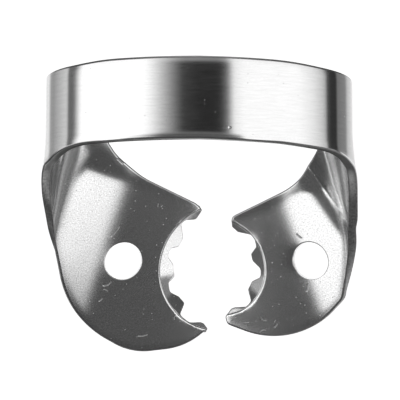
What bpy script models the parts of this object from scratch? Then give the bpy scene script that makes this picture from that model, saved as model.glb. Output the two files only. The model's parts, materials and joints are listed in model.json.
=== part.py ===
"""Rubber dam clamp for a tooth: one springy sheet, cut flat and then bent.

The outline is drawn flat, in lengths along the strip (u, from the middle of the bow) and across it
(v, from the middle of the jaws towards the back), in millimetres. One bending rule then carries every
point of that flat sheet to its place: the bow, the folds at its feet, the two plates and the jaw lips.
The frame is the finished clamp's: X across, +Y towards the bow, +Z away from the gum, and z = 0 at the
lowest teeth.
"""
import math

import bmesh
import bpy
import numpy as np
from mathutils import Vector
from mathutils.geometry import delaunay_2d_cdt

MM = 0.001

# The sheet, and the round on all its cut rims.
SHEET = 0.78
RIM_ROUND = 0.13

# The bow, seen from the front: a crown, two tighter shoulders, then straight sides. The jaws grip a tooth
# whose middle is a little to the right of the bow's.
BOW_HEIGHT = 14.035
CROWN_RADIUS = 17.0
CROWN_ANGLE = 33.0
SHOULDER_RADIUS = 4.6
SIDE_ANGLE = 80.0
BOW_FRONT = 9.33
BOW_BACK = 15.53
BOW_LEAN = 5.0
GRIP_MIDDLE = 1.6
LEAN_AT = (12.6, 5.635)

# The folds between bow and plates: a cone, wide at the back and tight at the front.
FOLD_WIDE = 3.0
FOLD_TIGHT = 0.6
FOLD_WIDE_AT = 10.13
SPLAY_FROM = 11.13
SPLAY_LENGTH = 4.5

# The forceps holes, and the rounds of the tooth outlines and of the four jaw ends.
HOLE = 3.05
HOLE_SIDES = 32
TOOTH_ROUND = 0.26
TIP_ROUND = 0.22
CREASE = 0.06
SOFT_CREASE = 0.25

# Each side: the height where its bow line meets its plate line, that line's fall towards the front, the
# plate's slope outside and inside its gentle bend, and the jaw's centre, radius and turned-down angle.
# Corners of the back and front edges are (u, v, round). Corners of the jaw's ends and teeth are (angle
# round the jaw's centre, how far inside its radius, and for the ends a round).
LEFT = dict(
    sign=-1, corner=4.34, fall=3.0, splay=0.22, tight_at=3.43, slope_out=15.5, slope_in=9.6,
    bend=21.75, bend_slant=15.0, jaw=(31.92, 0.0), jaw_radius=5.21, lip_turn=48.0, hole=(23.63, 0.60),
    back=((7.0, BOW_BACK, 30.0), (19.5, 14.53, 2.4), (21.1, 11.03, 6.0), (22.3, 9.38, 5.0),
          (24.9, 7.48, 8.0)),
    back_end=((66.28, -0.557, 1.5), (68.42, 0.317, TIP_ROUND)),
    teeth=((60.5, 1.15), (50.5, 0.37), (45.5, 0.37), (37.0, 2.10), (26.0, 2.25), (20.5, 1.25), (12.0, 1.08),
           (3.0, 2.22), (-12.5, 2.35), (-17.0, 1.25), (-26.0, 1.04), (-36.5, 1.80), (-47.5, 1.82),
           (-50.0, 0.30), (-61.0, 0.20), (-71.5, 0.80), (-75.5, 0.76)),
    front_end=((-80.28, 0.178, TIP_ROUND), (-70.29, -1.758, 5.5)),
    front=((24.69, -7.04, 5.1), (19.41, -4.06, 8.3),
           (17.15, 4.74, 6.3), (15.0, 7.91, 5.2), (12.56, 8.15, 7.6), (9.99, 9.23, 8.3), (6.0, 9.31, 20.0)),
)
RIGHT = dict(
    sign=1, corner=4.841, fall=3.5, splay=0.24, tight_at=3.13, slope_out=25.3, slope_in=19.85,
    bend=20.8, bend_slant=16.0, jaw=(28.33, 0.0), jaw_radius=4.04, lip_turn=38.0, hole=(20.33, 0.65),
    back=((6.5, 15.39, 40.0), (17.6, 14.33, 2.2), (18.61, 9.94, 5.0), (21.09, 6.90, 6.6)),
    back_end=((71.85, -0.422, 0.6), (70.67, 0.204, TIP_ROUND)),
    teeth=((70.5, 0.62), (60.5, 0.93), (42.0, 0.06), (35.5, 0.09), (28.0, 0.47), (23.5, 1.68), (10.5, 1.78),
           (-1.0, 0.86), (-5.0, 0.68), (-13.0, 0.70), (-25.5, 1.66), (-41.5, 1.56), (-47.5, 0.30),
           (-56.0, 0.20), (-72.0, 0.70), (-77.5, 0.66)),
    front_end=((-85.89, -0.151, TIP_ROUND), (-84.88, -0.779, 0.5)),
    front=((22.06, -6.76, 7.5), (17.72, -2.42, 1.2),
           (16.45, 3.11, 8.0), (15.13, 7.25, 3.9), (12.24, 8.26, 6.1), (10.53, 8.80, 9.9), (6.0, 9.15, 20.0)),
)

# How finely the sheet is divided.
STEP = 0.8
RIM_STEP = 0.55
TURN_STEP = 0.16
CREASE_STEP = 0.45


def smooth(t):
    t = np.clip(t, 0, 1)
    return t * t * t * (t * (6 * t - 15) + 10)


def soft_ramp(x, width):
    """x where it is above nought, else nought, with a soft corner."""
    return width * np.logaddexp(0, x / width)


def bow_line(u):
    """Half of the bow's inside line seen from the front, and the u where its straight side starts."""
    crown, side = math.radians(CROWN_ANGLE), math.radians(SIDE_ANGLE)
    crown_end = CROWN_RADIUS * crown
    side_start = crown_end + SHOULDER_RADIUS * (side - crown)
    a = np.minimum(u / CROWN_RADIUS, crown)
    b = crown + np.clip((u - crown_end) / SHOULDER_RADIUS, 0, side - crown)
    over = np.maximum(u - side_start, 0)
    x = CROWN_RADIUS * np.sin(a) + SHOULDER_RADIUS * (np.sin(b) - math.sin(crown)) + over * math.cos(side)
    z = (BOW_HEIGHT - CROWN_RADIUS * (1 - np.cos(a)) - SHOULDER_RADIUS * (math.cos(crown) - np.cos(b))
         - over * math.sin(side))
    return x, z, side_start


def fold_radius(v, s):
    along = (v - s["tight_at"]) / (FOLD_WIDE_AT - s["tight_at"])
    along = soft_ramp(along, 0.09) - soft_ramp(along - 1, 0.09)
    return FOLD_TIGHT + (FOLD_WIDE - FOLD_TIGHT) * along


def fold_place(v, s):
    """Where the straight side meets the plate line: u, x and z, and how far along u the fold reaches."""
    x, z, start = bow_line(np.asarray(bow_line(0.0)[2]))
    side = math.radians(SIDE_ANGLE)
    drop = z - s["corner"] - v * math.tan(math.radians(s["fall"]))
    splay = s["splay"] * smooth((SPLAY_FROM - v) / SPLAY_LENGTH)
    run = drop / math.sin(side)
    turn = math.pi - math.radians(s["slope_out"]) - side
    reach = fold_radius(v, s) * math.tan(turn / 2)
    return start + run, x + run * math.cos(side) + splay, z - drop, splay, turn, reach


def bent_strip(u, v, s):
    """Seen from the front: the bow, the fold at its foot and the plate with its gentle bend."""
    side = math.radians(SIDE_ANGLE)
    x, z, start = bow_line(u)
    corner_u, corner_x, corner_z, splay, turn, reach = fold_place(v, s)
    r = fold_radius(v, s)
    a = side + np.clip((u - corner_u + reach) / (2 * reach), 0, 1) * turn
    past = np.maximum(u - corner_u - reach, 0)
    out, inn = math.radians(s["slope_out"]), math.radians(s["slope_in"])
    bend = s["bend"] + v * math.tan(math.radians(s["bend_slant"]))
    more = soft_ramp(u - bend, 0.5)
    fold_x = (corner_x - reach * math.cos(side) + r * (np.sin(a) - math.sin(side)) - past * math.cos(out)
              + more * (math.cos(out) - math.cos(inn)))
    fold_z = (corner_z + reach * math.sin(side) - r * (math.cos(side) - np.cos(a)) - past * math.sin(out)
              + more * (math.sin(out) - math.sin(inn)))
    folded = u > corner_u - reach
    spread = splay * smooth((u - start + 1.5) / (corner_u - reach - start + 1.5))
    return np.where(folded, fold_x, x + spread), np.where(folded, fold_z, z)


def inside_face(u, v, s, crease):
    """The face that is the bow's inside and the plates' top, u and v being points of the flat sheet."""
    x, z = bent_strip(u, v, s)
    du, dv = u - s["jaw"][0], v - s["jaw"][1]
    reach = np.hypot(du, dv) + 1e-9
    lip = np.where(u > s["bend"] - 4, soft_ramp(s["jaw_radius"] - reach, crease), 0)
    turn, slope = math.radians(s["lip_turn"]), math.radians(s["slope_in"])
    inward, down = lip * (1 - math.cos(turn)), lip * math.sin(turn)
    x = x - inward * du / reach * math.cos(slope) + down * math.sin(slope)
    z = z - inward * du / reach * math.sin(slope) - down * math.cos(slope)
    y = v + inward * dv / reach
    y0, z0 = LEAN_AT
    lean = math.radians(BOW_LEAN) * smooth((z - z0 + 1) / 4)
    back, up = y - y0, z - z0
    return np.stack([s["sign"] * x, y0 + back * np.cos(lean) + up * np.sin(lean),
                     z0 + up * np.cos(lean) - back * np.sin(lean)], -1)


def face_normal(u, v, s, crease):
    e = 1e-3
    along = inside_face(u + e, v, s, crease) - inside_face(u - e, v, s, crease)
    across = inside_face(u, v + e, s, crease) - inside_face(u, v - e, s, crease)
    n = np.cross(along, across) * s["sign"]
    return n / np.linalg.norm(n, axis=-1, keepdims=True)


def bend_sheet(u, v, w):
    """Every point of the flat sheet in its bent place. u is below nought on the left."""
    place = np.zeros((len(u), 3))
    for s in (LEFT, RIGHT):
        own = u * s["sign"] >= 0 if s["sign"] > 0 else u < 0
        a, b, c = np.abs(u[own]), v[own], w[own]
        near = face_normal(a, b, s, CREASE)
        soft = face_normal(a, b, s, SOFT_CREASE)
        soft = soft / np.maximum((near * soft).sum(-1, keepdims=True), 0.6)
        place[own] = inside_face(a, b, s, CREASE) + c[:, None] * soft
    return place - np.array([GRIP_MIDDLE, 0, 0])


def rounded(corners, step):
    """A path through corners (u, v, round). Two rounds that need more length than is between them shrink."""
    points = np.array([c[:2] for c in corners], float)
    ways = np.diff(points, axis=0)
    lengths = np.linalg.norm(ways, axis=1)
    ways /= lengths[:, None]
    half = np.arccos(np.clip(-(ways[:-1] * ways[1:]).sum(1), -1, 1)) / 2
    reach = np.concatenate([[0], np.array([c[2] for c in corners[1:-1]]) / np.tan(half), [0]])
    shrink = np.minimum(1, 0.98 * lengths / (reach[:-1] + reach[1:] + 1e-9))
    reach = reach[1:-1] * np.minimum(shrink[:-1], shrink[1:])
    path = [points[0]]
    for corner, a, b, h, t in zip(points[1:-1], -ways[:-1], ways[1:], half, reach):
        start, r, sweep = corner + a * t, t * math.tan(h), math.pi - 2 * h
        centre = corner + (a + b) / np.linalg.norm(a + b) * t / math.cos(h)
        turn = -sweep if a[0] * b[1] - a[1] * b[0] > 0 else sweep
        count = max(1, math.ceil(sweep * r / step), math.ceil(sweep / 0.45))
        for k in range(count + 1):
            c, d = math.cos(turn * k / count), math.sin(turn * k / count)
            x, y = start - centre
            path.append(centre + np.array([x * c - y * d, x * d + y * c]))
    path.append(points[-1])
    return np.array(path)


def spacing(u, v, s):
    """How long an edge may be along u here, so that the bends stay smooth."""
    corner_u, _, _, _, turn, reach = fold_place(v, s)
    crown_end = CROWN_RADIUS * math.radians(CROWN_ANGLE)
    in_fold = np.abs(u - corner_u) < reach + 0.1
    size = np.where(u > crown_end - 0.5, SHOULDER_RADIUS * TURN_STEP, STEP)
    return np.where(in_fold, np.minimum(STEP, np.maximum(fold_radius(v, s) * TURN_STEP, 0.12)), size)


def subdivided(path, s):
    """The same path with long edges cut to the spacing that the bends need."""
    points = [path[0]]
    for a, b in zip(path[:-1], path[1:]):
        middle = (a + b) / 2
        du, dv = np.abs(b - a)
        along = float(spacing(middle[0], np.asarray(middle[1]), s))
        count = max(1, math.ceil(math.hypot(du, dv) / RIM_STEP), math.ceil(du / along))
        points += [a + (b - a) * k / count for k in range(1, count + 1)]
    return points


def side_outline(s):
    """The outline of one half, from the middle of the bow's back edge round the jaw to its front edge."""
    def on_jaw(angle, width, corner_round=TOOTH_ROUND):
        a, r = math.radians(angle), s["jaw_radius"] - width
        return s["jaw"][0] - r * math.cos(a), s["jaw"][1] + r * math.sin(a), corner_round
    jaw = [on_jaw(*corner) for corner in (*s["back_end"], *s["teeth"], *s["front_end"])]
    corners = [(0.0, BOW_BACK, 0.0), *s["back"], *jaw, *s["front"], (0.0, BOW_FRONT, 0.0)]
    return subdivided(rounded(corners, RIM_STEP), s)


def sheet_outline():
    right = [(p[0], p[1]) for p in side_outline(RIGHT)]
    left = [(-p[0], p[1]) for p in side_outline(LEFT)]
    return np.array(right[:-1] + left[::-1][:-1])


def hole_outline(s):
    a = np.arange(HOLE_SIDES) * 2 * math.pi / HOLE_SIDES
    u, v = s["hole"]
    return np.stack([s["sign"] * (u + HOLE / 2 * np.cos(a)), v + HOLE / 2 * np.sin(a)], -1)


def inset(loop, amount):
    """The loop moved towards the sheet's inside, which lies on its left."""
    before, after = loop - np.roll(loop, 1, 0), np.roll(loop, -1, 0) - loop
    n1 = np.stack([-before[:, 1], before[:, 0]], -1) / np.linalg.norm(before, axis=1)[:, None]
    n2 = np.stack([-after[:, 1], after[:, 0]], -1) / np.linalg.norm(after, axis=1)[:, None]
    n = n1 + n2
    n /= np.linalg.norm(n, axis=1)[:, None]
    return loop + amount * n / np.maximum((n * n1).sum(1), 0.7)[:, None]


def inside(points, loop):
    """Which points lie within the loop."""
    a, b = loop, np.roll(loop, -1, 0)
    x, y = points[:, :1], points[:, 1:]
    cross = (a[:, 1] > y) != (b[:, 1] > y)
    rise = np.where(b[:, 1] == a[:, 1], 1.0, b[:, 1] - a[:, 1])
    return (cross & (x < a[:, 0] + (y - a[:, 1]) * (b[:, 0] - a[:, 0]) / rise)).sum(1) % 2 == 1


def distance(points, loop):
    a, d = loop, np.roll(loop, -1, 0) - loop
    out = np.empty(len(points))
    for i, p in enumerate(points):
        t = np.clip(((p - a) * d).sum(1) / (d * d).sum(1), 0, 1)
        out[i] = np.sqrt(((a + t[:, None] * d - p) ** 2).sum(1).min())
    return out


def inner_points(s):
    """Points inside one half of the sheet: rows, close together where it bends, and rings at the lip."""
    points = []
    jaw, radius = s["jaw"], s["jaw_radius"]
    for row, v in enumerate(np.arange(-8.0, BOW_BACK, STEP * 0.85)):
        u = (0.5 if row % 2 else 0.0) * STEP
        while u < jaw[0] + 1:
            near_crease = abs(math.hypot(u - jaw[0], v - jaw[1]) - radius) < 0.3
            if not near_crease and (u > 0 or s["sign"] > 0):
                points.append((s["sign"] * u, v))
            u += float(spacing(u, np.asarray(v), s))
    for offset in (0.16, 0.04, -0.04, -0.16):
        r = radius + offset
        count = math.ceil(math.pi * r / CREASE_STEP)
        for k in range(count + 1):
            a = math.radians(-90 + 180 * k / count)
            points.append((s["sign"] * (jaw[0] - r * math.cos(a)), jaw[1] + r * math.sin(a)))
    return points


def filled(loops):
    """Points and triangles of the flat sheet between its outline and its holes."""
    rims = np.vstack(loops)
    free = np.array(inner_points(LEFT) + inner_points(RIGHT))
    keep = inside(free, loops[0])
    for loop in loops[1:]:
        keep &= ~inside(free, loop)
    free = free[keep]
    for loop in loops:
        free = free[distance(free, loop) > 0.1]
    free = free[distance(free, loops[0]) > 0.2]
    edges, first = [], 0
    for loop in loops:
        edges += [(first + k, first + (k + 1) % len(loop)) for k in range(len(loop))]
        first += len(loop)
    flat = [Vector(p) for p in np.vstack([rims, free])]
    found = delaunay_2d_cdt(flat, edges, [], 0, 1e-6, True)
    points, triangles = np.array([tuple(p) for p in found[0]]), np.array(found[2])
    if len(points) != len(flat) or any(own != [k] for k, own in enumerate(found[3])):
        raise ValueError("the outline crosses itself")
    corners = points[triangles]
    sides = corners[:, 1:] - corners[:, :1]
    keep = inside(corners.mean(1), loops[0]) & (np.abs(np.cross(sides[:, 0], sides[:, 1])) > 1e-4)
    for loop in loops[1:]:
        keep &= ~inside(corners.mean(1), loop)
    return points, triangles[keep]


def signed_area(loop):
    """Twice the area within the loop, below nought where it runs clockwise."""
    return (loop[:, 0] * np.roll(loop[:, 1], -1) - np.roll(loop[:, 0], -1) * loop[:, 1]).sum()


def clamp_mesh():
    """The whole sheet: both faces filled, their rims joined by rounded edges, then everything bent."""
    outlines = [sheet_outline(), hole_outline(LEFT), hole_outline(RIGHT)]
    outlines = [q if (signed_area(q) > 0) == (k == 0) else q[::-1] for k, q in enumerate(outlines)]
    cap, triangles = filled([inset(q, RIM_ROUND) for q in outlines])
    half = 1 - math.sqrt(0.5)
    rows = [(half, half), (0, 1), (0, SHEET / RIM_ROUND - 1), (half, SHEET / RIM_ROUND - half)]
    count = len(cap)
    flat = [np.column_stack([cap, np.zeros(count)]), np.column_stack([cap, np.full(count, SHEET)])]
    faces = [tuple(t) for t in triangles] + [tuple(t[::-1] + count) for t in triangles]
    first, base = 0, 2 * count
    for q in outlines:
        n = len(q)
        ids = [first + np.arange(n)]
        for side, depth in rows:
            flat.append(np.column_stack([inset(q, side * RIM_ROUND), np.full(n, depth * RIM_ROUND)]))
            ids.append(base + np.arange(n))
            base += n
        ids.append(count + first + np.arange(n))
        first += n
        for a, b in zip(ids, ids[1:]):
            faces += [(a[k], b[k], b[(k + 1) % n], a[(k + 1) % n]) for k in range(n)]
    flat = np.vstack(flat)
    mesh = bpy.data.meshes.new("clamp")
    mesh.from_pydata((bend_sheet(*flat.T) * MM).tolist(), [], [[int(k) for k in f] for f in faces])
    work = bmesh.new()
    work.from_mesh(mesh)
    bmesh.ops.recalc_face_normals(work, faces=work.faces)
    if work.calc_volume(signed=True) < 0:
        bmesh.ops.reverse_faces(work, faces=work.faces)
    work.to_mesh(mesh)
    work.free()
    return mesh


def steel():
    material = bpy.data.materials.new("steel")
    material.use_nodes = True
    shader = material.node_tree.nodes["Principled BSDF"]
    shader.inputs["Base Color"].default_value = (0.62, 0.62, 0.63, 1)
    shader.inputs["Metallic"].default_value = 1
    shader.inputs["Roughness"].default_value = 0.22
    return material


def main():
    for thing in list(bpy.data.objects):
        bpy.data.objects.remove(thing)
    group = bpy.data.collections.new("rubber_dam_clamp")
    bpy.context.scene.collection.children.link(group)
    clamp = bpy.data.objects.new("clamp", clamp_mesh())
    clamp.data.materials.append(steel())
    clamp.data.shade_smooth()
    group.objects.link(clamp)


main()
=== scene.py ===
"""Looks of the rubber dam clamp: its sheet finely divided, its polished and satin steel, and a plain studio.

The sheet is drawn flat, in millimetres (u along the strip, v across it, w into its thickness), and one
bending rule carries it to its place, as in the part's own source.
"""

import json
import math

import bmesh
import bpy
import numpy as np
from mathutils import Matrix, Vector
from mathutils.geometry import delaunay_2d_cdt

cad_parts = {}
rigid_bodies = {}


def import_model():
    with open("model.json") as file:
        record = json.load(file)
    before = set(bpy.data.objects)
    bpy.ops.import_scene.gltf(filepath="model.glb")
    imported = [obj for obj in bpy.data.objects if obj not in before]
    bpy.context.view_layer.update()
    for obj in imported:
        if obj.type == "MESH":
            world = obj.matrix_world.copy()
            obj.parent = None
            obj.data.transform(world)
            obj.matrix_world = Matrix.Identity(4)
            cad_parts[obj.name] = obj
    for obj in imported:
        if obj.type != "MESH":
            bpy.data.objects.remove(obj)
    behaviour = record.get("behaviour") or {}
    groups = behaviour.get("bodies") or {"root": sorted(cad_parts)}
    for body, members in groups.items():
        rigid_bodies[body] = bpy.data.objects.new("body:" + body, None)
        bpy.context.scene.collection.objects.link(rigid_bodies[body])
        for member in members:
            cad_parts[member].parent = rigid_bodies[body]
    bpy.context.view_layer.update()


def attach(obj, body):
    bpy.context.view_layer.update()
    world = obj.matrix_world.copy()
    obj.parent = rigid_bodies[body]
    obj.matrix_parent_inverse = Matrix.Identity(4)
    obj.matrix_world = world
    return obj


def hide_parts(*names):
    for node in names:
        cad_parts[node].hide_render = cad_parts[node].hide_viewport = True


for thing in list(bpy.data.objects):
    bpy.data.objects.remove(thing)
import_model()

MM = 0.001

# The sheet, the bow and the folds, with the part's own names and sizes.
SHEET = 0.78
RIM_ROUND = 0.13
BOW_HEIGHT = 14.035
CROWN_RADIUS = 17.0
CROWN_ANGLE = 33.0
SHOULDER_RADIUS = 4.6
SIDE_ANGLE = 80.0
BOW_FRONT = 9.33
BOW_BACK = 15.53
BOW_LEAN = 5.0
GRIP_MIDDLE = 1.6
LEAN_AT = (12.6, 5.635)
FOLD_WIDE = 3.0
FOLD_TIGHT = 0.6
FOLD_WIDE_AT = 10.13
SPLAY_FROM = 11.13
SPLAY_LENGTH = 4.5
HOLE = 3.05
TOOTH_ROUND = 0.26
TIP_ROUND = 0.22
SOFT_CREASE = 0.40

# How softly its forms pass into each other: the fold's radius from tight to wide, the plates' gentle bend,
# the splay, which starts SPLAY_BEFORE the bow's straight side, and the lean, which starts LEAN_BELOW under
# LEAN_AT and is full LEAN_RISE higher. The lips' rule counts from LIP_BEFORE before the gentle bend.
FOLD_SOFT = 0.09
BEND_SOFT = 0.5
SPLAY_BEFORE = 1.5
LEAN_BELOW = 1.0
LEAN_RISE = 4.0
LIP_BEFORE = 4.0

# Corners of the back and front edges are (u, v, round). Corners of the jaw's ends and teeth are (angle
# round the jaw's centre, how far inside its radius, and for the ends a round).
LEFT = dict(
    sign=-1, corner=4.34, fall=3.0, splay=0.22, tight_at=3.43, slope_out=15.5, slope_in=9.6,
    bend=21.75, bend_slant=15.0, jaw=(31.92, 0.0), jaw_radius=5.21, lip_turn=48.0, hole=(23.63, 0.60),
    back=((7.0, BOW_BACK, 30.0), (19.5, 14.53, 2.4), (21.1, 11.03, 6.0), (22.3, 9.38, 5.0),
          (24.9, 7.48, 8.0)),
    back_end=((66.28, -0.557, 1.5), (68.42, 0.317, TIP_ROUND)),
    teeth=((60.5, 1.15), (50.5, 0.37), (45.5, 0.37), (37.0, 2.10), (26.0, 2.25), (20.5, 1.25), (12.0, 1.08),
           (3.0, 2.22), (-12.5, 2.35), (-17.0, 1.25), (-26.0, 1.04), (-36.5, 1.80), (-47.5, 1.82),
           (-50.0, 0.30), (-61.0, 0.20), (-71.5, 0.80), (-75.5, 0.76)),
    front_end=((-80.28, 0.178, TIP_ROUND), (-70.29, -1.758, 5.5)),
    front=((24.69, -7.04, 5.1), (19.41, -4.06, 8.3),
           (17.15, 4.74, 6.3), (15.0, 7.91, 5.2), (12.56, 8.15, 7.6), (9.99, 9.23, 8.3), (6.0, 9.31, 20.0)),
)
RIGHT = dict(
    sign=1, corner=4.841, fall=3.5, splay=0.24, tight_at=3.13, slope_out=25.3, slope_in=19.85,
    bend=20.8, bend_slant=16.0, jaw=(28.33, 0.0), jaw_radius=4.04, lip_turn=38.0, hole=(20.33, 0.65),
    back=((6.5, 15.39, 40.0), (17.6, 14.33, 2.2), (18.61, 9.94, 5.0), (21.09, 6.90, 6.6)),
    back_end=((71.85, -0.422, 0.6), (70.67, 0.204, TIP_ROUND)),
    teeth=((70.5, 0.62), (60.5, 0.93), (42.0, 0.06), (35.5, 0.09), (28.0, 0.47), (23.5, 1.68), (10.5, 1.78),
           (-1.0, 0.86), (-5.0, 0.68), (-13.0, 0.70), (-25.5, 1.66), (-41.5, 1.56), (-47.5, 0.30),
           (-56.0, 0.20), (-72.0, 0.70), (-77.5, 0.66)),
    front_end=((-85.89, -0.151, TIP_ROUND), (-84.88, -0.779, 0.5)),
    front=((22.06, -6.76, 7.5), (17.72, -2.42, 1.2),
           (16.45, 3.11, 8.0), (15.13, 7.25, 3.9), (12.24, 8.26, 6.1), (10.53, 8.80, 9.9), (6.0, 9.15, 20.0)),
)

# The stamped sheet isn't quite flat. From the lines BACK_CURVE (u, v) on, each plate curves up towards its
# back edge. The lines lie aslant, so that only BACK_ASLANT of the way along v leads away from them. Past the
# fold's foot the curve grows over BACK_GROWS, from BACK_BEFORE before the foot.
PLATE_FROM = 14.0
BACK_CURVE = {-1: ((18.0, 19.0, 20.05, 21.75, 23.55, 26.0, 29.0), (6.0, 7.2, 8.3, 7.6, 6.95, 6.35, 5.25)),
              1: ((18.0, 19.3, 20.85, 22.5, 24.5, 27.0), (6.6, 6.3, 6.15, 5.5, 4.75, 3.7))}
BACK_RISE = {-1: math.tan(math.radians(4.5)), 1: math.tan(math.radians(6.5))}
BACK_ASLANT = 0.9
BACK_SOFT = 0.15
BACK_BEFORE = 0.4
BACK_GROWS = 1.6

# Beside the right fold a gentle swell leads into it, from v = SWELL_FROM on. At v = SWELL_AT its crest is at
# the fold's foot, and further back it lies further away. It is SWELL_WIDTH wide on the plate's side and
# SWELL_NEAR on the fold's.
SWELL = 0.14
SWELL_WIDTH = 1.05
SWELL_NEAR = 0.5
SWELL_FROM = 1.0
SWELL_GROWS = 3.2
SWELL_AT = 5.1
SWELL_LEAN = 0.47

# Beside the left fold the plate settles: at the fold's foot its slope is steeper by SETTLE, which dies away.
SETTLE = math.tan(math.radians(6.0))
SETTLE_LENGTH = 0.75
SETTLE_BEFORE = 0.5
SETTLE_GROWS = 0.7
SETTLE_STEPS = np.linspace(-1, 6, 141)

# At the right hole's rim is a shallow dip, deepest HOLE_DIP_WAY degrees from the jaw's side towards the back.
HOLE_DIP = 0.030
HOLE_DIP_WIDTH = 0.50
HOLE_DIP_WAY = 20.0

# Polishing has worn the faces down along their edges: most along the bow's front edge, least at the holes.
WORN = 0.012
WORN_BOW = 0.020
WORN_HOLE = 0.003
WORN_WIDTH = 0.25
WORN_SHAPE = 1.5
BOW_WORN_TO = 17.0
BOW_WORN_FADE = 3.0
FRONT_WORN_TO = 12.0
FRONT_WORN_FADE = 2.0

# The lips' bend is tight, the holes' rims are sharp, and they are less dull than the other cut edges, which
# count as 1. The folds are satin out to SATIN_TO times their own reach.
LIP_BEND = 0.10
HOLE_ROUND = 0.05
HOLE_CUT = 0.15
SATIN_TO = 1.5
SATIN_FADE = 0.5

# How finely the sheet is divided: edges on its faces, along its rims, in its folds (as a part of their
# radius) and round its edges, rows along the rims, and rings at the lips' bend.
STEP = 0.22
ROW_STEP = STEP * 0.85
ROWS_FROM = -8.0
RIM_STEP = 0.14
TURN_STEP = 0.05
LEAST_STEP = 0.05
FOLD_MARGIN = 0.1
CROWN_MARGIN = 0.5
ROUND_FACES = 4
ROUND_TURN = 0.2
ROUND_SHARE = 0.98
EDGE_ROWS = (0.07, 0.15, 0.25, 0.38, 0.52)
EDGE_GAP = 0.06
ROW_KEPT = 0.97
LIP_RINGS = (0.36, 0.24, 0.15, 0.10, 0.06, 0.02, -0.02, -0.06, -0.10, -0.15, -0.24, -0.36)
LIP_RINGS_WIDTH = 0.42
RING_STEP = 0.16
SAME_POINT = 1e-6
SLIVER = 1e-5
# Where the sheet or its outline turns sharply, points move further to keep their distance: 1 / this at most.
FACE_MITRE = 0.6
EDGE_MITRE = 0.7

# The floor and the camera, in metres. The floor lies well below the clamp, which stands on a tooth in use.
FLOOR_DEPTH = 0.035
FLOOR_HALF = 0.034
FLOOR_GREY = 0.95
FLOOR_GLOW = 0.80
CAMERA_AT = (-0.00155, 0.00563, 0.11572)
CAMERA_LENS = 123.39
CAMERA_SENSOR = 36

# The brightest panel, and how much of the light that falls on it the steel gives back.
PANEL = 1.45
STEEL_SHINE = 0.80


def smooth(t):
    """A soft step from 0 at nought to 1 at one."""
    t = np.clip(t, 0, 1)
    return t * t * t * (t * (6 * t - 15) + 10)


def soft_ramp(x, width):
    """x where it is above nought, else nought, with a soft corner."""
    return width * np.logaddexp(0, x / width)


def bow_line(u):
    """Half of the bow's inside line seen from the front, and the u where its straight side starts."""
    crown, side = math.radians(CROWN_ANGLE), math.radians(SIDE_ANGLE)
    crown_end = CROWN_RADIUS * crown
    side_start = crown_end + SHOULDER_RADIUS * (side - crown)
    a = np.minimum(u / CROWN_RADIUS, crown)
    b = crown + np.clip((u - crown_end) / SHOULDER_RADIUS, 0, side - crown)
    over = np.maximum(u - side_start, 0)
    x = CROWN_RADIUS * np.sin(a) + SHOULDER_RADIUS * (np.sin(b) - math.sin(crown)) + over * math.cos(side)
    z = (BOW_HEIGHT - CROWN_RADIUS * (1 - np.cos(a)) - SHOULDER_RADIUS * (math.cos(crown) - np.cos(b))
         - over * math.sin(side))
    return x, z, side_start


def fold_radius(v, s):
    """The fold's inside radius, tight at the front and wide at the back."""
    along = (v - s["tight_at"]) / (FOLD_WIDE_AT - s["tight_at"])
    along = soft_ramp(along, FOLD_SOFT) - soft_ramp(along - 1, FOLD_SOFT)
    return FOLD_TIGHT + (FOLD_WIDE - FOLD_TIGHT) * along


def fold_place(v, s):
    """Where the straight side meets the plate line: u, x and z, and how far along u the fold reaches."""
    x, z, start = bow_line(np.asarray(bow_line(0.0)[2]))
    side = math.radians(SIDE_ANGLE)
    drop = z - s["corner"] - v * math.tan(math.radians(s["fall"]))
    splay = s["splay"] * smooth((SPLAY_FROM - v) / SPLAY_LENGTH)
    run = drop / math.sin(side)
    turn = math.pi - math.radians(s["slope_out"]) - side
    reach = fold_radius(v, s) * math.tan(turn / 2)
    return start + run, x + run * math.cos(side) + splay, z - drop, splay, turn, reach


def bent_strip(u, v, s):
    """Seen from the front: the bow, the fold at its foot and the plate with its gentle bend."""
    side = math.radians(SIDE_ANGLE)
    x, z, start = bow_line(u)
    corner_u, corner_x, corner_z, splay, turn, reach = fold_place(v, s)
    r = fold_radius(v, s)
    a = side + np.clip((u - corner_u + reach) / (2 * reach), 0, 1) * turn
    past = np.maximum(u - corner_u - reach, 0)
    out, inn = math.radians(s["slope_out"]), math.radians(s["slope_in"])
    bend = s["bend"] + v * math.tan(math.radians(s["bend_slant"]))
    more = soft_ramp(u - bend, BEND_SOFT)
    fold_x = (corner_x - reach * math.cos(side) + r * (np.sin(a) - math.sin(side)) - past * math.cos(out)
              + more * (math.cos(out) - math.cos(inn)))
    fold_z = (corner_z + reach * math.sin(side) - r * (math.cos(side) - np.cos(a)) - past * math.sin(out)
              + more * (math.sin(out) - math.sin(inn)))
    folded = u > corner_u - reach
    spread = splay * smooth((u - start + SPLAY_BEFORE) / (corner_u - reach - start + SPLAY_BEFORE))
    return np.where(folded, fold_x, x + spread), np.where(folded, fold_z, z)


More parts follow.
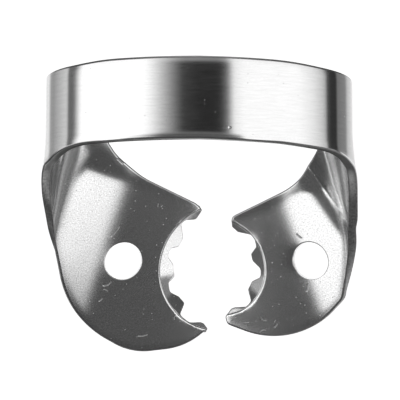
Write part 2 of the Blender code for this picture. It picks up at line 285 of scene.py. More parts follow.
def inside_face(u, v, s, crease):
    """The face that is the bow's inside and the plates' top, u and v being points of the flat sheet."""
    x, z = bent_strip(u, v, s)
    du, dv = u - s["jaw"][0], v - s["jaw"][1]
    reach = np.hypot(du, dv) + 1e-9
    into = s["jaw_radius"] - reach
    lip = np.where(np.abs(into) < crease, (into + crease) ** 2 / (4 * crease), np.maximum(into, 0))
    lip = np.where(u > s["bend"] - LIP_BEFORE, lip, 0)
    turn, slope = math.radians(s["lip_turn"]), math.radians(s["slope_in"])
    inward, down = lip * (1 - math.cos(turn)), lip * math.sin(turn)
    x = x - inward * du / reach * math.cos(slope) + down * math.sin(slope)
    z = z - inward * du / reach * math.sin(slope) - down * math.cos(slope)
    y = v + inward * dv / reach
    y0, z0 = LEAN_AT
    lean = math.radians(BOW_LEAN) * smooth((z - z0 + LEAN_BELOW) / LEAN_RISE)
    back, up = y - y0, z - z0
    return np.stack([s["sign"] * x, y0 + back * np.cos(lean) + up * np.sin(lean),
                     z0 + up * np.cos(lean) - back * np.sin(lean)], -1)


def face_normal(u, v, s, crease):
    """The way out of the inside face, from its slopes over a very short step."""
    e = 1e-3
    along = inside_face(u + e, v, s, crease) - inside_face(u - e, v, s, crease)
    across = inside_face(u, v + e, s, crease) - inside_face(u, v - e, s, crease)
    n = np.cross(along, across) * s["sign"]
    return n / np.linalg.norm(n, axis=-1, keepdims=True)


def bend_sheet(u, v, w):
    """Every point of the flat sheet in its bent place. u is below nought on the left."""
    place = np.zeros((len(u), 3))
    for s in (LEFT, RIGHT):
        own = u >= 0 if s["sign"] > 0 else u < 0
        a, b, c = np.abs(u[own]), v[own], w[own]
        near = face_normal(a, b, s, LIP_BEND)
        soft = face_normal(a, b, s, SOFT_CREASE)
        soft = soft / np.maximum((near * soft).sum(-1, keepdims=True), FACE_MITRE)
        place[own] = inside_face(a, b, s, LIP_BEND) + c[:, None] * soft
    return place - np.array([GRIP_MIDDLE, 0, 0])


def relief(u, v):
    """How far the sheet stands above its plain bent shape, which is small."""
    out = np.zeros(len(u))
    for s in (LEFT, RIGHT):
        own = u * s["sign"] > PLATE_FROM
        a, b = np.abs(u[own]), v[own]
        corner_u, _, _, _, _, reach = fold_place(b, s)
        past = a - corner_u - reach
        beyond = (b - np.interp(a, *BACK_CURVE[s["sign"]])) * BACK_ASLANT
        rise = BACK_RISE[s["sign"]] * soft_ramp(beyond, BACK_SOFT)
        rise = rise * smooth((past + BACK_BEFORE) / BACK_GROWS)
        if s["sign"] > 0:
            from_crest = past - (b - SWELL_AT) * SWELL_LEAN
            width = np.where(from_crest > 0, SWELL_WIDTH, SWELL_NEAR)
            rise = rise + SWELL * np.exp(-(from_crest / width) ** 2) * smooth((b - SWELL_FROM) / SWELL_GROWS)
            du, dv = a - s["hole"][0], b - s["hole"][1]
            way = np.arctan2(dv, du) - math.radians(HOLE_DIP_WAY)
            from_rim = np.maximum(np.hypot(du, dv) - HOLE / 2, 0)
            rise = rise - HOLE_DIP * np.exp(-from_rim / HOLE_DIP_WIDTH) * np.maximum(np.cos(way), 0) ** 2
        else:
            slope = smooth((SETTLE_STEPS + SETTLE_BEFORE) / SETTLE_GROWS)
            slope = slope * np.exp(-np.maximum(SETTLE_STEPS, 0) / SETTLE_LENGTH)
            sunk = np.cumsum(slope) * SETTLE * (SETTLE_STEPS[1] - SETTLE_STEPS[0])
            rise = rise - np.interp(past, SETTLE_STEPS, sunk)
        out[own] = rise
    return out


def in_fold(u, v):
    """1 in the two folds, 0 away from them."""
    out = np.zeros(len(u))
    for s in (LEFT, RIGHT):
        own = u * s["sign"] > 0
        corner_u, _, _, _, _, reach = fold_place(v[own], s)
        from_middle = np.abs(np.abs(u[own]) - corner_u) / reach
        out[own] = smooth((SATIN_TO - from_middle) / SATIN_FADE)
    return out


def wear(u, v):
    """How many times more than the plates' edges an edge is worn: the bow's front edge most."""
    on_bow = smooth((BOW_WORN_TO - np.abs(u)) / BOW_WORN_FADE)
    at_front = smooth((FRONT_WORN_TO - v) / FRONT_WORN_FADE)
    return 1 + (WORN_BOW / WORN - 1) * on_bow * at_front


def rounded(corners, step):
    """A path through corners (u, v, round). Rounds shrink where the length between two is too short."""
    points = np.array([c[:2] for c in corners], float)
    ways = np.diff(points, axis=0)
    lengths = np.linalg.norm(ways, axis=1)
    ways /= lengths[:, None]
    half = np.arccos(np.clip(-(ways[:-1] * ways[1:]).sum(1), -1, 1)) / 2
    reach = np.concatenate([[0], np.array([c[2] for c in corners[1:-1]]) / np.tan(half), [0]])
    shrink = np.minimum(1, ROUND_SHARE * lengths / (reach[:-1] + reach[1:] + 1e-9))
    reach = reach[1:-1] * np.minimum(shrink[:-1], shrink[1:])
    path = [points[0]]
    for corner, a, b, h, t in zip(points[1:-1], -ways[:-1], ways[1:], half, reach):
        start, r, sweep = corner + a * t, t * math.tan(h), math.pi - 2 * h
        centre = corner + (a + b) / np.linalg.norm(a + b) * t / math.cos(h)
        turn = -sweep if a[0] * b[1] - a[1] * b[0] > 0 else sweep
        count = max(1, math.ceil(sweep * r / step), math.ceil(sweep / ROUND_TURN))
        for k in range(count + 1):
            c, d = math.cos(turn * k / count), math.sin(turn * k / count)
            x, y = start - centre
            path.append(centre + np.array([x * c - y * d, x * d + y * c]))
    path.append(points[-1])
    return np.array(path)


def spacing(u, v, s):
    """How long an edge may be along u here, so that the bends stay smooth."""
    corner_u, _, _, _, _, reach = fold_place(v, s)
    crown_end = CROWN_RADIUS * math.radians(CROWN_ANGLE)
    folded = np.abs(u - corner_u) < reach + FOLD_MARGIN
    size = np.where(u > crown_end - CROWN_MARGIN, min(STEP, SHOULDER_RADIUS * TURN_STEP), STEP)
    fine = np.minimum(STEP, np.maximum(fold_radius(v, s) * TURN_STEP, LEAST_STEP))
    return np.where(folded, fine, size)


def subdivided(path, s):
    """The same path with long edges cut to the spacing that the bends need."""
    points = [path[0]]
    for a, b in zip(path[:-1], path[1:]):
        middle = (a + b) / 2
        du, dv = np.abs(b - a)
        along = float(spacing(middle[0], np.asarray(middle[1]), s))
        count = max(1, math.ceil(math.hypot(du, dv) / RIM_STEP), math.ceil(du / along))
        points += [a + (b - a) * k / count for k in range(1, count + 1)]
    return points


def side_outline(s):
    """The outline of one half, from the middle of the bow's back edge round the jaw to its front edge's."""
    def on_jaw(angle, width, corner_round=TOOTH_ROUND):
        a, r = math.radians(angle), s["jaw_radius"] - width
        return s["jaw"][0] - r * math.cos(a), s["jaw"][1] + r * math.sin(a), corner_round
    jaw = [on_jaw(*corner) for corner in (*s["back_end"], *s["teeth"], *s["front_end"])]
    corners = [(0.0, BOW_BACK, 0.0), *s["back"], *jaw, *s["front"], (0.0, BOW_FRONT, 0.0)]
    return subdivided(rounded(corners, RIM_STEP), s)


def sheet_outline():
    """The outline of the whole flat sheet."""
    right = [(p[0], p[1]) for p in side_outline(RIGHT)]
    left = [(-p[0], p[1]) for p in side_outline(LEFT)]
    return np.array(right[:-1] + left[::-1][:-1])


def hole_outline(s):
    """The round hole of one plate."""
    count = math.ceil(math.pi * HOLE / RIM_STEP / 2) * 2
    a = np.arange(count) * 2 * math.pi / count
    u, v = s["hole"]
    return np.stack([s["sign"] * (u + HOLE / 2 * np.cos(a)), v + HOLE / 2 * np.sin(a)], -1)


def inset(loop, amount):
    """The loop moved towards the sheet's inside, which lies on its left."""
    before, after = loop - np.roll(loop, 1, 0), np.roll(loop, -1, 0) - loop
    n1 = np.stack([-before[:, 1], before[:, 0]], -1) / np.linalg.norm(before, axis=1)[:, None]
    n2 = np.stack([-after[:, 1], after[:, 0]], -1) / np.linalg.norm(after, axis=1)[:, None]
    n = n1 + n2
    n /= np.linalg.norm(n, axis=1)[:, None]
    return loop + amount * n / np.maximum((n * n1).sum(1), EDGE_MITRE)[:, None]


def inside(points, loop):
    """Which points lie within the loop."""
    a, b = loop, np.roll(loop, -1, 0)
    x, y = points[:, :1], points[:, 1:]
    cross = (a[:, 1] > y) != (b[:, 1] > y)
    rise = np.where(b[:, 1] == a[:, 1], 1.0, b[:, 1] - a[:, 1])
    return (cross & (x < a[:, 0] + (y - a[:, 1]) * (b[:, 0] - a[:, 0]) / rise)).sum(1) % 2 == 1


def distance(points, loop):
    """How far each point is from the loop."""
    a, d = loop, np.roll(loop, -1, 0) - loop
    out = np.empty(len(points))
    for i, p in enumerate(points):
        t = np.clip(((p - a) * d).sum(1) / (d * d).sum(1), 0, 1)
        out[i] = np.sqrt(((a + t[:, None] * d - p) ** 2).sum(1).min())
    return out


def inner_points(s):
    """Points inside one half: rows across it, close together along u where it bends, and rings at the lip."""
    points = []
    jaw, radius = s["jaw"], s["jaw_radius"]
    for row, v in enumerate(np.arange(ROWS_FROM, BOW_BACK, ROW_STEP)):
        u = (0.5 if row % 2 else 0.0) * STEP
        while u < jaw[0] + 1:
            near_lip = abs(math.hypot(u - jaw[0], v - jaw[1]) - radius) < LIP_RINGS_WIDTH
            if not near_lip and (u > 0 or s["sign"] > 0):
                points.append((s["sign"] * u, v))
            u += float(spacing(u, np.asarray(v), s))
    for offset in LIP_RINGS:
        r = radius + offset
        count = math.ceil(math.pi * r / RING_STEP)
        for k in range(count + 1):
            a = math.radians(-90 + 180 * k / count)
            points.append((s["sign"] * (jaw[0] - r * math.cos(a)), jaw[1] + r * math.sin(a)))
    return points


def filled(loops):
    """Points and triangles of the flat sheet between its outline and its holes."""
    rims = np.vstack(loops)
    free = np.array(inner_points(LEFT) + inner_points(RIGHT))
    free = free[np.min([distance(free, loop) for loop in loops], axis=0) > EDGE_ROWS[-1] + EDGE_GAP]
    rows = []
    for loop in loops:
        for amount in EDGE_ROWS:
            row = inset(loop, amount)
            from_rims = np.min([distance(row, other) for other in loops], axis=0)
            rows.append(row[from_rims > ROW_KEPT * amount])
    free = np.vstack([free, *rows])
    keep = inside(free, loops[0])
    for loop in loops[1:]:
        keep &= ~inside(free, loop)
    free = free[keep]
    edges, first = [], 0
    for loop in loops:
        edges += [(first + k, first + (k + 1) % len(loop)) for k in range(len(loop))]
        first += len(loop)
    flat = [Vector(p) for p in np.vstack([rims, free])]
    found = delaunay_2d_cdt(flat, edges, [], 0, SAME_POINT, True)
    points, triangles = np.array([tuple(p) for p in found[0]]), np.array(found[2])
    if len(points) != len(flat):
        raise ValueError("the outline crosses itself")
    corners = points[triangles]
    sides = corners[:, 1:] - corners[:, :1]
    keep = inside(corners.mean(1), loops[0]) & (np.abs(np.cross(sides[:, 0], sides[:, 1])) > SLIVER)
    for loop in loops[1:]:
        keep &= ~inside(corners.mean(1), loop)
    return points, triangles[keep]


def signed_area(loop):
    """Twice the loop's area, above nought where it turns to the left."""
    return (loop[:, 0] * np.roll(loop[:, 1], -1) - np.roll(loop[:, 0], -1) * loop[:, 1]).sum()


def rim_rows(rim_round):
    """How far in and how deep each row round the cut edge lies, from the top face to the underside."""
    quarter = [math.pi / 2 * k / ROUND_FACES for k in range(1, ROUND_FACES + 1)]
    first = [(rim_round * (1 - math.sin(t)), rim_round * (1 - math.cos(t))) for t in quarter]
    return first + [(side, SHEET - depth) for side, depth in reversed(first)]


def add_attribute(mesh, name, kind, values):
    """A value, or three, that the material reads at each point."""
    data = mesh.attributes.new(name, kind, "POINT").data
    data.foreach_set("vector" if kind == "FLOAT_VECTOR" else "value", values.astype(np.float32).ravel())


def sheet_mesh():
    """The whole sheet: both faces filled, their rims joined by rounded edges, then everything bent."""
    outlines = [sheet_outline(), hole_outline(LEFT), hole_outline(RIGHT)]
    outlines = [q if (signed_area(q) > 0) == (k == 0) else q[::-1] for k, q in enumerate(outlines)]
    rounds = (RIM_ROUND, HOLE_ROUND, HOLE_ROUND)
    cap, triangles = filled([inset(q, r) for q, r in zip(outlines, rounds)])
    count = len(cap)
    flat = [np.column_stack([cap, np.zeros(count)]), np.column_stack([cap, np.full(count, SHEET)])]
    faces = [tuple(t) for t in triangles] + [tuple(t[::-1] + count) for t in triangles]
    first, base = 0, 2 * count
    for q, rim_round in zip(outlines, rounds):
        n = len(q)
        ids = [first + np.arange(n)]
        for side, depth in rim_rows(rim_round):
            flat.append(np.column_stack([inset(q, side), np.full(n, depth)]))
            ids.append(base + np.arange(n))
            base += n
        ids.append(count + first + np.arange(n))
        first += n
        for a, b in zip(ids, ids[1:]):
            faces += [(a[k], b[k], b[(k + 1) % n], a[(k + 1) % n]) for k in range(n)]
    flat = np.vstack(flat)

    def on_rims(values):
        """The first value for every point round the outline, the others for those round the holes."""
        each = [np.full(len(q) * 2 * ROUND_FACES, value) for value, q in zip(values, outlines)]
        return np.concatenate(each)

    depths = (WORN, WORN_HOLE, WORN_HOLE)
    from_edges = [distance(cap, inset(q, r)) for q, r in zip(outlines, rounds)]
    falls = [deep * np.exp(-(d / WORN_WIDTH) ** WORN_SHAPE) for deep, d in zip(depths, from_edges)]
    worn = np.zeros(len(flat))
    worn[:count] = np.max(falls, axis=0) * wear(cap[:, 0], cap[:, 1])
    worn[count:2 * count] = -worn[:count]
    in_depth = np.interp(flat[2 * count:, 2], (0, RIM_ROUND, SHEET - RIM_ROUND, SHEET), (1, 0, 0, -1))
    worn[2 * count:] = on_rims(depths) * wear(flat[2 * count:, 0], flat[2 * count:, 1]) * in_depth
    depth = flat[:, 2] + worn - relief(flat[:, 0], flat[:, 1])
    places = bend_sheet(flat[:, 0], flat[:, 1], depth) * MM
    mesh = bpy.data.meshes.new("clamp_sheet")
    mesh.from_pydata(places.tolist(), [], [[int(k) for k in f] for f in faces])
    work = bmesh.new()
    work.from_mesh(mesh)
    bmesh.ops.recalc_face_normals(work, faces=work.faces)
    if work.calc_volume(signed=True) < 0:
        bmesh.ops.reverse_faces(work, faces=work.faces)
    work.to_mesh(mesh)
    work.free()
    mesh.shade_smooth()
    cut = np.concatenate([np.zeros(2 * count), on_rims((1.0, HOLE_CUT, HOLE_CUT))])
    add_attribute(mesh, "flat", "FLOAT_VECTOR", flat)
    add_attribute(mesh, "cut", "FLOAT", cut)
    add_attribute(mesh, "fold", "FLOAT", in_fold(flat[:, 0], flat[:, 1]))
    return mesh


def feed(tree, socket, value):
    """Link the socket to another one, or set it to a value."""
    if isinstance(value, bpy.types.NodeSocket):
        tree.links.new(value, socket)
    else:
        socket.default_value = value


def node(tree, kind, **sockets):
    """A new shader node with its sockets linked or set."""
    made = tree.nodes.new(kind)
    for name, value in sockets.items():
        feed(tree, made.inputs[name.replace("_", " ")], value)
    return made


def calc(tree, operation, *values):
    """The result of one sum on numbers or sockets."""
    made = tree.nodes.new("ShaderNodeMath")
    made.operation = operation
    for socket, value in zip(made.inputs, values):
        feed(tree, socket, value)
    return made.outputs[0]


def mixed(tree, part, first, second, kind="MIX"):
    """Two colours mixed, or multiplied."""
    made = tree.nodes.new("ShaderNodeMix")
    made.data_type = "RGBA"
    made.blend_type = kind
    for slot, value in ((0, part), (6, first), (7, second)):
        feed(tree, made.inputs[slot], value)
    return made.outputs[2]


def ramp(tree, factor, stops):
    """A grey ramp through stops (place, grey)."""
    made = node(tree, "ShaderNodeValToRGB", Fac=factor)
    points = made.color_ramp.elements
    for k, (place, grey) in enumerate(stops):
        point = points[k] if k < 2 else points.new(place)
        point.position = place
        point.color = (grey, grey, grey, 1)
    return made.outputs[0]


def light_of(grey):
    """The light that the steel has to mirror to show this grey."""
    return (((grey + 0.055) / 1.055) ** 2.4 if grey > 0.04045 else grey / 12.92) / STEEL_SHINE


# The studio as the steel mirrors it. Each stop is (place, the grey that the steel shows there). A place is an
# angle from the left (-180 degrees) over the top (0) to the right (180). How far back a direction points is
# y, from -1 in front to 1 behind, and what STARTS or ENDS does so softly between two of its values.
#
# ABOVE is the light over the clamp, and BEHIND the light behind it, which starts further back where the part
# HIGHER is above 0: at BEHIND_AT + BEHIND_LATER * HIGHER, and BEHIND_OVER + BEHIND_SOFTER * HIGHER further on
# it is full.
BEHIND = ((-180, 0.87), (-137, 0.87), (-128, 0.60), (-118, 0.57), (-105, 0.66), (-86, 0.77), (-82, 0.76),
          (-78, 0.40), (-70, 0.36), (-66.5, 1.03), (-31, 1.04), (-23, 0.90), (-15, 0.70), (-8, 0.56),
          (10, 0.52), (14, 0.62), (18, 0.92), (24, 0.99), (54, 0.99), (63, 0.90), (70, 0.75), (73, 0.28),
          (80, 0.19), (92, 0.18), (96, 0.44), (118, 0.50), (127, 0.74), (150, 0.86), (162, 0.97), (180, 0.97))
ABOVE = ((-180, 0.35), (-126, 0.36), (-104, 0.38), (-96, 0.84), (-67, 0.84), (-62, 0.42), (-58, 0.32),
         (-54, 0.38), (-50, 1.03), (-43, 1.03), (-40, 0.36), (-36, 0.26), (0, 0.30), (14, 0.31), (18, 0.26),
         (21, 0.35), (23, 0.62), (25.5, 0.98), (27, 1.02), (34, 1.02), (39, 0.45), (44, 0.34), (50, 0.46),
         (58, 0.50), (64, 0.40), (72, 0.58), (84, 0.64), (92, 0.34), (98, 0.34), (102, 0.97), (126, 0.97),
         (180, 0.80))
HIGHER = ((-180, 0), (-46, 0), (-33, 0.55), (-26, 0.75), (-19, 1), (14, 1), (21, 0.8), (27, 0), (180, 0))
BEHIND_AT = -0.02
BEHIND_LATER = 0.13
BEHIND_OVER = 0.06
BEHIND_SOFTER = 0.03

# A dark patch in BEHIND: the part of the light that is left there.
PATCH = ((-180, 1.0), (-26, 1.0), (-16, 0.62), (-9, 0.14), (0, 0.07), (11, 0.07), (15, 0.30), (18, 1.0),
         (180, 1.0))
PATCH_STARTS = (0.145, 0.185)
PATCH_ENDS = (0.295, 0.335)

# FRONT is the light in front. The y at which it ends rises a little to the right.
FRONT = ((-180, 0.40), (-90, 0.34), (-45, 0.30), (-36, 0.36), (-28, 0.30), (0, 0.26), (36, 0.26), (44, 0.36),
         (50, 0.44), (58, 0.48), (64, 0.40), (72, 0.56), (84, 0.62), (92, 0.34), (98, 0.36), (102, 0.95),
         (126, 0.95), (136, 0.60), (180, 0.50))
FRONT_ENDS = (-0.210, -0.176)
FRONT_SLANT = -0.06

# Far in front, low in front and far behind, a place is x, from -1 on the left to 1 on the right. Between
# BEHIND and FAR_BACK is a gap of one dark grey, nearer at the sides.
FAR_FRONT = ((-1, 0.55), (-0.88, 0.88), (-0.80, 0.80), (-0.72, 0.38), (-0.50, 0.32), (0, 0.30), (0.40, 0.32),
             (0.52, 0.42), (0.62, 0.78), (0.85, 0.88), (1, 0.55))
FAR_FRONT_ENDS = (-0.75, -0.50)
LOW_FRONT = ((-1, 0.55), (-0.88, 0.88), (-0.80, 0.80), (-0.72, 0.38), (-0.40, 0.34), (-0.30, 0.48),
             (-0.22, 0.90), (-0.04, 0.96), (0.03, 0.70), (0.10, 0.36), (0.20, 0.30), (0.26, 0.40),
             (0.31, 0.66), (0.36, 0.40), (0.52, 0.42), (0.62, 0.78), (0.85, 0.88), (1, 0.55))
LOW_FRONT_ENDS = (-0.88, -0.80)
GAP = 0.30
GAP_STARTS = (0.38, 0.46)
GAP_SLANT = 0.12
FAR_BACK = ((-1, 0.90), (-0.86, 0.84), (-0.78, 0.40), (-0.60, 0.32), (-0.42, 0.40), (-0.30, 0.80), (0, 0.86),
            (0.30, 0.80), (0.42, 0.40), (0.60, 0.34), (0.72, 0.78), (1, 0.90))
FAR_BACK_STARTS = (0.60, 0.75)


def parts(tree, across, stops):
    """A ramp of plain numbers over the angle."""
    return ramp(tree, across, [(0.5 + a / 360, part) for a, part in stops])


def mirrored(tree, across, stops, first=-180, last=180):
    """The light that lets the steel show the greys of the stops."""
    lights = [((a - first) / (last - first), min(light_of(grey), PANEL) / PANEL) for a, grey in stops]
    return ramp(tree, across, lights)


def blended(tree, value, ends, first, second):
    """The first colour where value is below both ends, the second above them."""
    part = node(tree, "ShaderNodeMapRange", Value=value)
    part.interpolation_type = "SMOOTHSTEP"
    part.inputs["From Min"].default_value = ends[0]
    part.inputs["From Max"].default_value = ends[1]
    return mixed(tree, part.outputs[0], first, second)


def studio_light(tree):
    """The painted studio round the clamp, as a colour by direction alone."""
    generated = tree.nodes.new("ShaderNodeTexCoord").outputs["Generated"]
    x, y, z = node(tree, "ShaderNodeSeparateXYZ", Vector=generated).outputs
    across = calc(tree, "ADD", calc(tree, "DIVIDE", calc(tree, "ARCTAN2", x, z), 2 * math.pi), 0.5)
    sideways = calc(tree, "MULTIPLY_ADD", x, 0.5, 0.5)
    y_front = calc(tree, "ADD", y, calc(tree, "MULTIPLY", x, FRONT_SLANT))
    y_gap = calc(tree, "MULTIPLY_ADD", calc(tree, "ABSOLUTE", x), GAP_SLANT, y)
    white = (1, 1, 1, 1)
    dark = light_of(GAP) / PANEL

    patch = blended(tree, y, PATCH_STARTS, white, parts(tree, across, PATCH))
    patch = blended(tree, y, PATCH_ENDS, patch, white)
    behind = mixed(tree, 1, mirrored(tree, across, BEHIND), patch, "MULTIPLY")
    higher = parts(tree, across, HIGHER)
    low = calc(tree, "MULTIPLY_ADD", higher, BEHIND_LATER, BEHIND_AT)
    span = calc(tree, "MULTIPLY_ADD", higher, BEHIND_SOFTER, BEHIND_OVER)
    past = calc(tree, "DIVIDE", calc(tree, "SUBTRACT", y, low), span)
    colour = blended(tree, past, (0, 1), mirrored(tree, across, ABOVE), behind)
    colour = blended(tree, y_front, FRONT_ENDS, mirrored(tree, across, FRONT), colour)
    colour = blended(tree, y, FAR_FRONT_ENDS, mirrored(tree, sideways, FAR_FRONT, -1, 1), colour)
    colour = blended(tree, y, LOW_FRONT_ENDS, mirrored(tree, sideways, LOW_FRONT, -1, 1), colour)
    colour = blended(tree, y_gap, GAP_STARTS, colour, (dark, dark, dark, 1))
    return blended(tree, y, FAR_BACK_STARTS, colour, mirrored(tree, sideways, FAR_BACK, -1, 1))


def studio():
    """The painted studio that the steel mirrors, and the plain white that the camera sees."""
    world = bpy.data.worlds.new("studio")
    world.use_nodes = True
    bpy.context.scene.world = world
    tree = world.node_tree
    tree.nodes.clear()
    around = node(tree, "ShaderNodeBackground", Color=studio_light(tree), Strength=PANEL)
    seen = node(tree, "ShaderNodeBackground", Color=(1, 1, 1, 1), Strength=1.0)
    path = tree.nodes.new("ShaderNodeLightPath")
    both = tree.nodes.new("ShaderNodeMixShader")
    tree.links.new(path.outputs["Is Camera Ray"], both.inputs[0])
    tree.links.new(around.outputs[0], both.inputs[1])
    tree.links.new(seen.outputs[0], both.inputs[2])
    out = tree.nodes.new("ShaderNodeOutputWorld")
    tree.links.new(both.outputs[0], out.inputs["Surface"])


def floor():
    """A pale floor far below, which glows slightly."""
    half = FLOOR_HALF
    corners = [(x, y, -FLOOR_DEPTH) for x, y in ((-half, -half), (half, -half), (half, half), (-half, half))]
    mesh = bpy.data.meshes.new("floor")
    mesh.from_pydata(corners, [], [(0, 1, 2, 3)])
    made = bpy.data.objects.new("floor", mesh)
    bpy.context.scene.collection.objects.link(made)
    material = bpy.data.materials.new("floor")
    material.use_nodes = True
    shader = material.node_tree.nodes["Principled BSDF"]
    shader.inputs["Base Color"].default_value = (FLOOR_GREY, FLOOR_GREY, FLOOR_GREY, 1)
    shader.inputs["Roughness"].default_value = 1
    shader.inputs["Specular IOR Level"].default_value = 0
    shader.inputs["Emission Color"].default_value = (1, 1, 1, 1)
    shader.inputs["Emission Strength"].default_value = FLOOR_GLOW
    mesh.materials.append(material)


# Small marks on the plates (u, v, way in degrees as seen from above, half length, half width, curl), and one
# pit on the bow (u, v, radius). MARK_CORE and MARK_FULL are the parts of a mark's half width and half length,
# and PIT_CORE the part of the pit, that are fully deep. The marks lie only on the top face, where the depth
# in the sheet is below MARK_FACE.
MARKS = ((-22.8, 8.85, -38, 0.38, 0.14, 0.0), (-22.9, 3.0, 55, 0.60, 0.05, 0.35),
         (-22.45, -1.35, 28, 0.42, 0.06, 0.9), (-22.3, -1.75, -20, 0.25, 0.05, -1.2),
         (-21.95, -2.6, 40, 0.22, 0.05, 0.8), (-26.24, 5.2, 85, 0.16, 0.03, 0.0),
         (-28.2, -4.0, 60, 0.22, 0.03, 0.5), (-25.6, -5.6, 10, 0.45, 0.04, 0.4),
         (21.15, 2.65, -40, 0.32, 0.09, 0.3), (20.4, 2.85, 30, 0.05, 0.03, 0.0),
         (20.7, -1.6, 75, 0.36, 0.09, 0.4), (19.95, -3.5, -65, 0.40, 0.05, 0.3),
         (24.7, -4.3, -30, 0.30, 0.05, 1.0), (24.8, -5.2, 20, 0.30, 0.04, -0.8),
         (23.6, -4.8, 50, 0.25, 0.05, 0.6), (26.2, -4.6, 5, 0.25, 0.04, 0.5))
PIT = (2.16, 10.16, 0.13)
MARK_CORE = 0.5
MARK_FULL = 0.7
MARK_FACE = (0.2, 0.4)
PIT_CORE = 0.4

# The steel's finish, which passes from the bow's to the plates' at these places along u. What is named PLATES
# is added on the plates, BOW on the bow and RIGHT on the right. SHINE is the part of the light that the steel
# gives back, ROUGH the shader's roughness, and HIGH or DEEP a height in millimetres. The brushing lies
# aslant. Each speck lies in a cell of its own, and SPECK_RARE of the cells have none.
FINISH_PASSES = (12.5, 16.5)
GRAIN_SCALE = 8.0
CLOUD_SCALE = 0.9
BRUSH_WAY = -24
BRUSH_SCALE = (0.8, 9.0, 1.0)
SPECK_SCALE = 2.6
SPECK_SIZE = (0.04, 0.11)
SPECK_RARE = 0.3
SPECK_RARE_BOW = 0.55
SHINE_GRAIN = 0.15
SHINE_GRAIN_PLATES = 1.0
SHINE_BRUSHED = 0.16
SHINE_CUT = 0.46
SHINE_MARK = 0.12
ROUGH = 0.065
ROUGH_PLATES = 0.045
ROUGH_CLOUD = 0.03
ROUGH_BRUSHED = 0.05
ROUGH_MARK = 0.35
ROUGH_SPECK = 0.5
ROUGH_CUT = 0.20
ROUGH_FOLD = 0.07
ROUGH_FOLD_RIGHT = 0.07
HIGH_GRAIN = 0.0001
HIGH_GRAIN_PLATES = 0.0010
HIGH_BRUSHED = 0.0003
HIGH_CUT = 0.008
DEEP_SPECK = -0.0035
DEEP_MARK = -0.012


def under(tree, value, low, high):
    """1 where value is under low, falling softly to 0 at high."""
    made = node(tree, "ShaderNodeMapRange", Value=value)
    made.interpolation_type = "SMOOTHSTEP"
    for name, number in (("From Min", low), ("From Max", high), ("To Min", 1.0), ("To Max", 0.0)):
        made.inputs[name].default_value = number
    return made.outputs[0]


def mark_mask(tree, u, v, mark):
    """1 on one small mark, 0 away from it."""
    u0, v0, way, length, width, curl = mark
    c, s = -math.cos(math.radians(way)), math.sin(math.radians(way))
    along = calc(tree, "MULTIPLY_ADD", v, s, -(u0 * c + v0 * s))
    along = calc(tree, "ADD", calc(tree, "MULTIPLY", u, c), along)
    aside = calc(tree, "MULTIPLY_ADD", v, c, u0 * s - v0 * c)
    aside = calc(tree, "ADD", calc(tree, "MULTIPLY", u, -s), aside)
    curled = calc(tree, "MULTIPLY", calc(tree, "MULTIPLY", along, along), curl)
    aside = calc(tree, "ABSOLUTE", calc(tree, "ADD", aside, curled))
    near = under(tree, aside, width * MARK_CORE, width)
    within = under(tree, calc(tree, "ABSOLUTE", along), length * MARK_FULL, length)
    return calc(tree, "MULTIPLY", near, within)


def attribute(tree, name):
    """One of the mesh's own attributes."""
    made = node(tree, "ShaderNodeAttribute")
    made.attribute_name = name
    return made.outputs


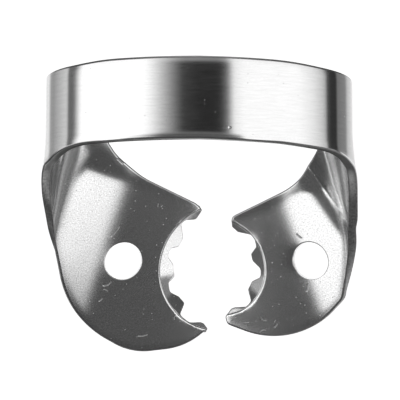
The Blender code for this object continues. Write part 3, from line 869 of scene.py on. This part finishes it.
def steel():
    """Bright steel: polished and brushed on the bow, satin and mottled on the plates, dull at cut edges."""
    material = bpy.data.materials.new("steel")
    material.use_nodes = True
    tree = material.node_tree
    shader = tree.nodes["Principled BSDF"]
    shader.inputs["Metallic"].default_value = 1
    cut = attribute(tree, "cut")["Fac"]
    fold = attribute(tree, "fold")["Fac"]
    flat = attribute(tree, "flat")["Vector"]
    u, v, w = node(tree, "ShaderNodeSeparateXYZ", Vector=flat).outputs
    bow = under(tree, calc(tree, "ABSOLUTE", u), *FINISH_PASSES)
    plate = calc(tree, "SUBTRACT", 1.0, bow)
    right = calc(tree, "GREATER_THAN", u, 0.0)

    fine = node(tree, "ShaderNodeTexNoise", Vector=flat, Scale=GRAIN_SCALE, Detail=4.0, Roughness=0.8)
    grain = calc(tree, "SUBTRACT", fine.outputs["Fac"], 0.5)
    cloud = node(tree, "ShaderNodeTexNoise", Vector=flat, Scale=CLOUD_SCALE, Detail=3.0).outputs["Fac"]
    turned = node(tree, "ShaderNodeMapping", Vector=flat, Rotation=(0, 0, math.radians(BRUSH_WAY)),
                  Scale=BRUSH_SCALE).outputs[0]
    streak = node(tree, "ShaderNodeTexNoise", Vector=turned, Scale=1.0, Detail=3.0).outputs["Fac"]
    cells = node(tree, "ShaderNodeTexVoronoi", Vector=flat, Scale=SPECK_SCALE)
    chance = node(tree, "ShaderNodeSeparateXYZ", Vector=cells.outputs["Color"]).outputs[0]
    chosen = calc(tree, "GREATER_THAN", chance, calc(tree, "MULTIPLY_ADD", bow, SPECK_RARE_BOW, SPECK_RARE))
    speck = calc(tree, "MULTIPLY", under(tree, cells.outputs["Distance"], *SPECK_SIZE), chosen)
    marks = mark_mask(tree, u, v, MARKS[0])
    for mark in MARKS[1:]:
        marks = calc(tree, "MAXIMUM", marks, mark_mask(tree, u, v, mark))
    marks = calc(tree, "MULTIPLY", marks, under(tree, w, *MARK_FACE))
    from_pit = tree.nodes.new("ShaderNodeVectorMath")
    from_pit.operation = "DISTANCE"
    tree.links.new(flat, from_pit.inputs[0])
    from_pit.inputs[1].default_value = (PIT[0], PIT[1], SHEET)
    pit = under(tree, from_pit.outputs["Value"], PIT[2] * PIT_CORE, PIT[2])

    grainy = calc(tree, "MULTIPLY_ADD", plate, SHINE_GRAIN_PLATES, SHINE_GRAIN)
    shine = calc(tree, "MULTIPLY_ADD", grain, grainy, STEEL_SHINE)
    brushed = calc(tree, "SUBTRACT", streak, 0.5)
    shine = calc(tree, "MULTIPLY_ADD", brushed, calc(tree, "MULTIPLY", bow, SHINE_BRUSHED), shine)
    shine = calc(tree, "SUBTRACT", shine, calc(tree, "MULTIPLY", cut, SHINE_CUT))
    shine = calc(tree, "SUBTRACT", shine, calc(tree, "MULTIPLY", marks, SHINE_MARK))
    tone = node(tree, "ShaderNodeCombineColor", Red=shine, Green=shine, Blue=shine)
    tree.links.new(tone.outputs[0], shader.inputs["Base Color"])

    rough = calc(tree, "MULTIPLY_ADD", plate, ROUGH_PLATES, ROUGH)
    rough = calc(tree, "MULTIPLY_ADD", cloud, ROUGH_CLOUD, rough)
    rough = calc(tree, "MULTIPLY_ADD", streak, calc(tree, "MULTIPLY", bow, ROUGH_BRUSHED), rough)
    marked = calc(tree, "MAXIMUM", calc(tree, "MULTIPLY", speck, ROUGH_SPECK), marks)
    rough = calc(tree, "MULTIPLY_ADD", marked, ROUGH_MARK, rough)
    rough = calc(tree, "MULTIPLY_ADD", cut, ROUGH_CUT, rough)
    satin = calc(tree, "MULTIPLY_ADD", right, ROUGH_FOLD_RIGHT, ROUGH_FOLD)
    rough = calc(tree, "MULTIPLY_ADD", fold, satin, rough)
    tree.links.new(rough, shader.inputs["Roughness"])

    high = calc(tree, "MULTIPLY", grain, calc(tree, "MULTIPLY_ADD", plate, HIGH_GRAIN_PLATES, HIGH_GRAIN))
    high = calc(tree, "MULTIPLY_ADD", streak, calc(tree, "MULTIPLY", bow, HIGH_BRUSHED), high)
    high = calc(tree, "MULTIPLY_ADD", speck, DEEP_SPECK, high)
    high = calc(tree, "MULTIPLY_ADD", calc(tree, "MAXIMUM", marks, pit), DEEP_MARK, high)
    high = calc(tree, "MULTIPLY_ADD", calc(tree, "MULTIPLY", cut, grain), HIGH_CUT, high)
    bump = node(tree, "ShaderNodeBump", Height=high, Strength=1.0, Distance=MM)
    tree.links.new(bump.outputs[0], shader.inputs["Normal"])
    return material


def camera():
    """The photograph's view, from straight above."""
    data = bpy.data.cameras.new("camera")
    data.sensor_width = CAMERA_SENSOR
    data.lens = CAMERA_LENS
    data.clip_start = 0.001
    data.clip_end = 10
    made = bpy.data.objects.new("camera", data)
    made.location = CAMERA_AT
    bpy.context.scene.collection.objects.link(made)
    bpy.context.scene.camera = made


def main():
    sheet = bpy.data.objects.new("clamp_sheet", sheet_mesh())
    bpy.context.scene.collection.objects.link(sheet)
    sheet.data.materials.append(steel())
    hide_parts("clamp")
    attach(sheet, "root")
    studio()
    floor()
    camera()
    bpy.context.scene.view_settings.view_transform = "Standard"


main()
